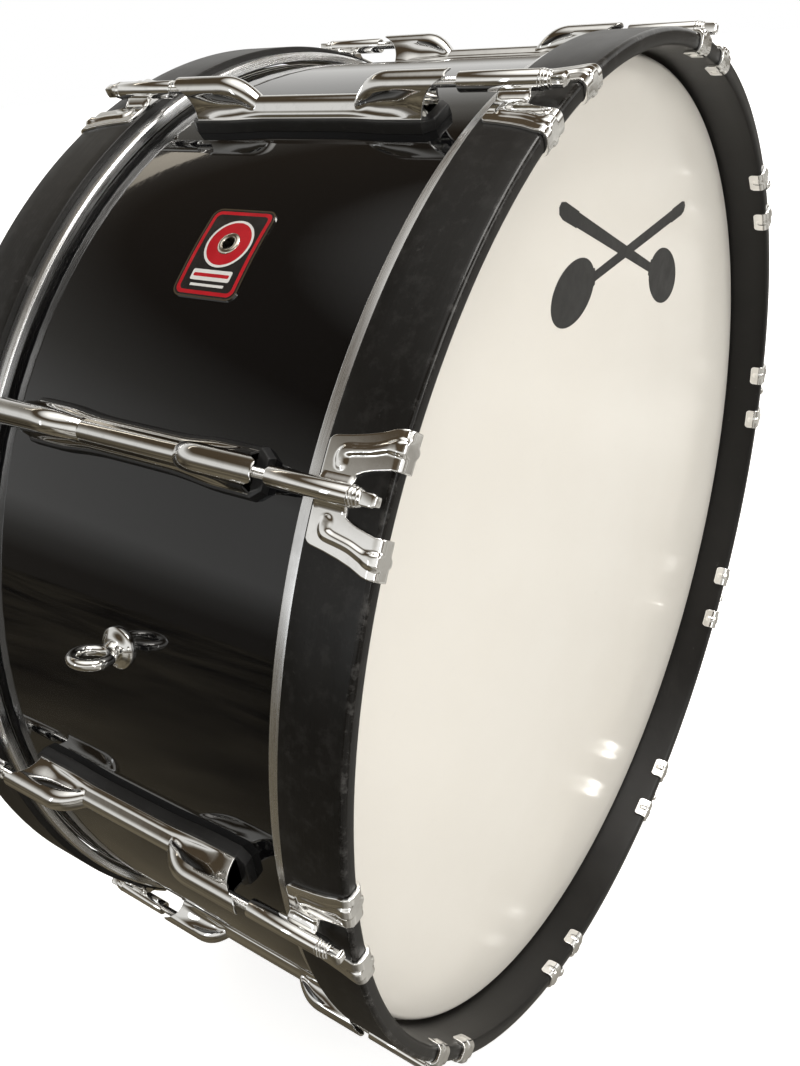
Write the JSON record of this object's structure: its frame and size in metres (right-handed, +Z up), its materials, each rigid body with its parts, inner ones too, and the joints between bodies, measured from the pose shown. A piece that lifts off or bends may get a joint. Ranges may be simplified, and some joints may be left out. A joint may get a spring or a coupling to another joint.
{
  "type": "bass drum",
  "caption": "Marching bass drum: wide shallow shell with film heads, wooden counterhoops, claws, tension rods, long tube lugs, a vent and sling eyes.",
  "frame": {"origin": "on the floor under the middle of the drum, at the bottom centre of its box", "axes": "+Z up, the drum's axis along Y, the front head facing -Y, +X to the right seen from the front"},
  "size_m": [0.7612, 0.3292, 0.732],
  "materials": {
    "shell_black": "black gloss lacquer over ply",
    "hoop_black": "black satin lacquer",
    "head_white": "smooth white polyester film",
    "flesh_aluminium": "satin",
    "chrome": "polished chrome plate",
    "plinth_black": "satin moulded plastic",
    "badge_enamel": "printed enamel, black with a red border and roundel",
    "nickel": "rolled nickel plate",
    "zinc_steel": "zinc plated"
  },
  "bodies": {
    "drum_shell": {"shell": "shell_black", "badge": "badge_enamel", "vent_grommet": "nickel", "lug_plinths": "plinth_black", "lug_screws": "zinc_steel", "lug_screw_washers": "zinc_steel", "left_sling_eye": "chrome", "right_sling_eye": "chrome", "sling_eye_bosses": "chrome", "sling_eye_washers": "zinc_steel", "sling_eye_nuts": "zinc_steel", "lug_casing_01": "chrome", "lug_casing_02": "chrome", "lug_casing_03": "chrome", "lug_casing_04": "chrome", "lug_casing_05": "chrome", "lug_casing_06": "chrome", "lug_casing_07": "chrome", "lug_casing_08": "chrome", "lug_casing_09": "chrome", "lug_casing_10": "chrome", "front_lug_nuts": "zinc_steel", "rear_lug_nuts": "zinc_steel"},
    "front_hoop": {"front_counterhoop": "hoop_black", "front_claws": "chrome", "front_rod_washers": "chrome"},
    "front_head": {"front_head_film": "head_white", "front_flesh_hoop": "flesh_aluminium"},
    "front_rod_01": {"front_tension_rod_01": "chrome"},
    "front_rod_02": {"front_tension_rod_02": "chrome"},
    "front_rod_03": {"front_tension_rod_03": "chrome"},
    "front_rod_04": {"front_tension_rod_04": "chrome"},
    "front_rod_05": {"front_tension_rod_05": "chrome"},
    "front_rod_06": {"front_tension_rod_06": "chrome"},
    "front_rod_07": {"front_tension_rod_07": "chrome"},
    "front_rod_08": {"front_tension_rod_08": "chrome"},
    "front_rod_09": {"front_tension_rod_09": "chrome"},
    "front_rod_10": {"front_tension_rod_10": "chrome"},
    "rear_hoop": {"rear_counterhoop": "hoop_black", "rear_claws": "chrome", "rear_rod_washers": "chrome"},
    "rear_head": {"rear_head_film": "head_white", "rear_flesh_hoop": "flesh_aluminium"},
    "rear_rod_01": {"rear_tension_rod_01": "chrome"},
    "rear_rod_02": {"rear_tension_rod_02": "chrome"},
    "rear_rod_03": {"rear_tension_rod_03": "chrome"},
    "rear_rod_04": {"rear_tension_rod_04": "chrome"},
    "rear_rod_05": {"rear_tension_rod_05": "chrome"},
    "rear_rod_06": {"rear_tension_rod_06": "chrome"},
    "rear_rod_07": {"rear_tension_rod_07": "chrome"},
    "rear_rod_08": {"rear_tension_rod_08": "chrome"},
    "rear_rod_09": {"rear_tension_rod_09": "chrome"},
    "rear_rod_10": {"rear_tension_rod_10": "chrome"}
  },
  "joints": [
    {"name": "front_hoop_slide", "type": "slide", "parent": "drum_shell", "child": "front_hoop", "axis": [0, -1, 0], "range_m": [0, 0.012]},
    {"name": "front_head_slide", "type": "slide", "parent": "drum_shell", "child": "front_head", "axis": [0, -1, 0], "range_m": [0, 0.0031]},
    {"name": "front_rod_01_turn", "type": "hinge", "parent": "front_hoop", "child": "front_rod_01", "pos_m": [0.374, -0.15, 0.366], "axis": [0, -1, 0], "range_deg": [0, 4083]},
    {"name": "front_rod_02_turn", "type": "hinge", "parent": "front_hoop", "child": "front_rod_02", "pos_m": [0.30257, -0.15, 0.58583], "axis": [0, -1, 0], "range_deg": [0, 4083]},
    {"name": "front_rod_03_turn", "type": "hinge", "parent": "front_hoop", "child": "front_rod_03", "pos_m": [0.11557, -0.15, 0.72169], "axis": [0, -1, 0], "range_deg": [0, 4083]},
    {"name": "front_rod_04_turn", "type": "hinge", "parent": "front_hoop", "child": "front_rod_04", "pos_m": [-0.11557, -0.15, 0.72169], "axis": [0, -1, 0], "range_deg": [0, 4083]},
    {"name": "front_rod_05_turn", "type": "hinge", "parent": "front_hoop", "child": "front_rod_05", "pos_m": [-0.30257, -0.15, 0.58583], "axis": [0, -1, 0], "range_deg": [0, 4083]},
    {"name": "front_rod_06_turn", "type": "hinge", "parent": "front_hoop", "child": "front_rod_06", "pos_m": [-0.374, -0.15, 0.366], "axis": [0, -1, 0], "range_deg": [0, 4083]},
    {"name": "front_rod_07_turn", "type": "hinge", "parent": "front_hoop", "child": "front_rod_07", "pos_m": [-0.30257, -0.15, 0.14617], "axis": [0, -1, 0], "range_deg": [0, 4083]},
    {"name": "front_rod_08_turn", "type": "hinge", "parent": "front_hoop", "child": "front_rod_08", "pos_m": [-0.11557, -0.15, 0.0103], "axis": [0, -1, 0], "range_deg": [0, 4083]},
    {"name": "front_rod_09_turn", "type": "hinge", "parent": "front_hoop", "child": "front_rod_09", "pos_m": [0.11557, -0.15, 0.0103], "axis": [0, -1, 0], "range_deg": [0, 4083]},
    {"name": "front_rod_10_turn", "type": "hinge", "parent": "front_hoop", "child": "front_rod_10", "pos_m": [0.30257, -0.15, 0.14617], "axis": [0, -1, 0], "range_deg": [0, 4083]},
    {"name": "rear_hoop_slide", "type": "slide", "parent": "drum_shell", "child": "rear_hoop", "axis": [0, 1, 0], "range_m": [0, 0.012]},
    {"name": "rear_head_slide", "type": "slide", "parent": "drum_shell", "child": "rear_head", "axis": [0, 1, 0], "range_m": [0, 0.0031]},
    {"name": "rear_rod_01_turn", "type": "hinge", "parent": "rear_hoop", "child": "rear_rod_01", "pos_m": [0.374, 0.15, 0.366], "axis": [0, 1, 0], "range_deg": [0, 4083]},
    {"name": "rear_rod_02_turn", "type": "hinge", "parent": "rear_hoop", "child": "rear_rod_02", "pos_m": [0.30257, 0.15, 0.58583], "axis": [0, 1, 0], "range_deg": [0, 4083]},
    {"name": "rear_rod_03_turn", "type": "hinge", "parent": "rear_hoop", "child": "rear_rod_03", "pos_m": [0.11557, 0.15, 0.72169], "axis": [0, 1, 0], "range_deg": [0, 4083]},
    {"name": "rear_rod_04_turn", "type": "hinge", "parent": "rear_hoop", "child": "rear_rod_04", "pos_m": [-0.11557, 0.15, 0.72169], "axis": [0, 1, 0], "range_deg": [0, 4083]},
    {"name": "rear_rod_05_turn", "type": "hinge", "parent": "rear_hoop", "child": "rear_rod_05", "pos_m": [-0.30257, 0.15, 0.58583], "axis": [0, 1, 0], "range_deg": [0, 4083]},
    {"name": "rear_rod_06_turn", "type": "hinge", "parent": "rear_hoop", "child": "rear_rod_06", "pos_m": [-0.374, 0.15, 0.366], "axis": [0, 1, 0], "range_deg": [0, 4083]},
    {"name": "rear_rod_07_turn", "type": "hinge", "parent": "rear_hoop", "child": "rear_rod_07", "pos_m": [-0.30257, 0.15, 0.14617], "axis": [0, 1, 0], "range_deg": [0, 4083]},
    {"name": "rear_rod_08_turn", "type": "hinge", "parent": "rear_hoop", "child": "rear_rod_08", "pos_m": [-0.11557, 0.15, 0.0103], "axis": [0, 1, 0], "range_deg": [0, 4083]},
    {"name": "rear_rod_09_turn", "type": "hinge", "parent": "rear_hoop", "child": "rear_rod_09", "pos_m": [0.11557, 0.15, 0.0103], "axis": [0, 1, 0], "range_deg": [0, 4083]},
    {"name": "rear_rod_10_turn", "type": "hinge", "parent": "rear_hoop", "child": "rear_rod_10", "pos_m": [0.30257, 0.15, 0.14617], "axis": [0, 1, 0], "range_deg": [0, 4083]}
  ],
  "couplings": [
    {"joint": "front_head_slide", "follows": "front_hoop_slide", "ratio": 0.25},
    {"joint": "front_rod_01_turn", "follows": "front_hoop_slide", "rad_per_m": 5936.9},
    {"joint": "front_rod_02_turn", "follows": "front_hoop_slide", "rad_per_m": 5936.9},
    {"joint": "front_rod_03_turn", "follows": "front_hoop_slide", "rad_per_m": 5936.9},
    {"joint": "front_rod_04_turn", "follows": "front_hoop_slide", "rad_per_m": 5936.9},
    {"joint": "front_rod_05_turn", "follows": "front_hoop_slide", "rad_per_m": 5936.9},
    {"joint": "front_rod_06_turn", "follows": "front_hoop_slide", "rad_per_m": 5936.9},
    {"joint": "front_rod_07_turn", "follows": "front_hoop_slide", "rad_per_m": 5936.9},
    {"joint": "front_rod_08_turn", "follows": "front_hoop_slide", "rad_per_m": 5936.9},
    {"joint": "front_rod_09_turn", "follows": "front_hoop_slide", "rad_per_m": 5936.9},
    {"joint": "front_rod_10_turn", "follows": "front_hoop_slide", "rad_per_m": 5936.9},
    {"joint": "rear_head_slide", "follows": "rear_hoop_slide", "ratio": 0.25},
    {"joint": "rear_rod_01_turn", "follows": "rear_hoop_slide", "rad_per_m": 5936.9},
    {"joint": "rear_rod_02_turn", "follows": "rear_hoop_slide", "rad_per_m": 5936.9},
    {"joint": "rear_rod_03_turn", "follows": "rear_hoop_slide", "rad_per_m": 5936.9},
    {"joint": "rear_rod_04_turn", "follows": "rear_hoop_slide", "rad_per_m": 5936.9},
    {"joint": "rear_rod_05_turn", "follows": "rear_hoop_slide", "rad_per_m": 5936.9},
    {"joint": "rear_rod_06_turn", "follows": "rear_hoop_slide", "rad_per_m": 5936.9},
    {"joint": "rear_rod_07_turn", "follows": "rear_hoop_slide", "rad_per_m": 5936.9},
    {"joint": "rear_rod_08_turn", "follows": "rear_hoop_slide", "rad_per_m": 5936.9},
    {"joint": "rear_rod_09_turn", "follows": "rear_hoop_slide", "rad_per_m": 5936.9},
    {"joint": "rear_rod_10_turn", "follows": "rear_hoop_slide", "rad_per_m": 5936.9}
  ]
}
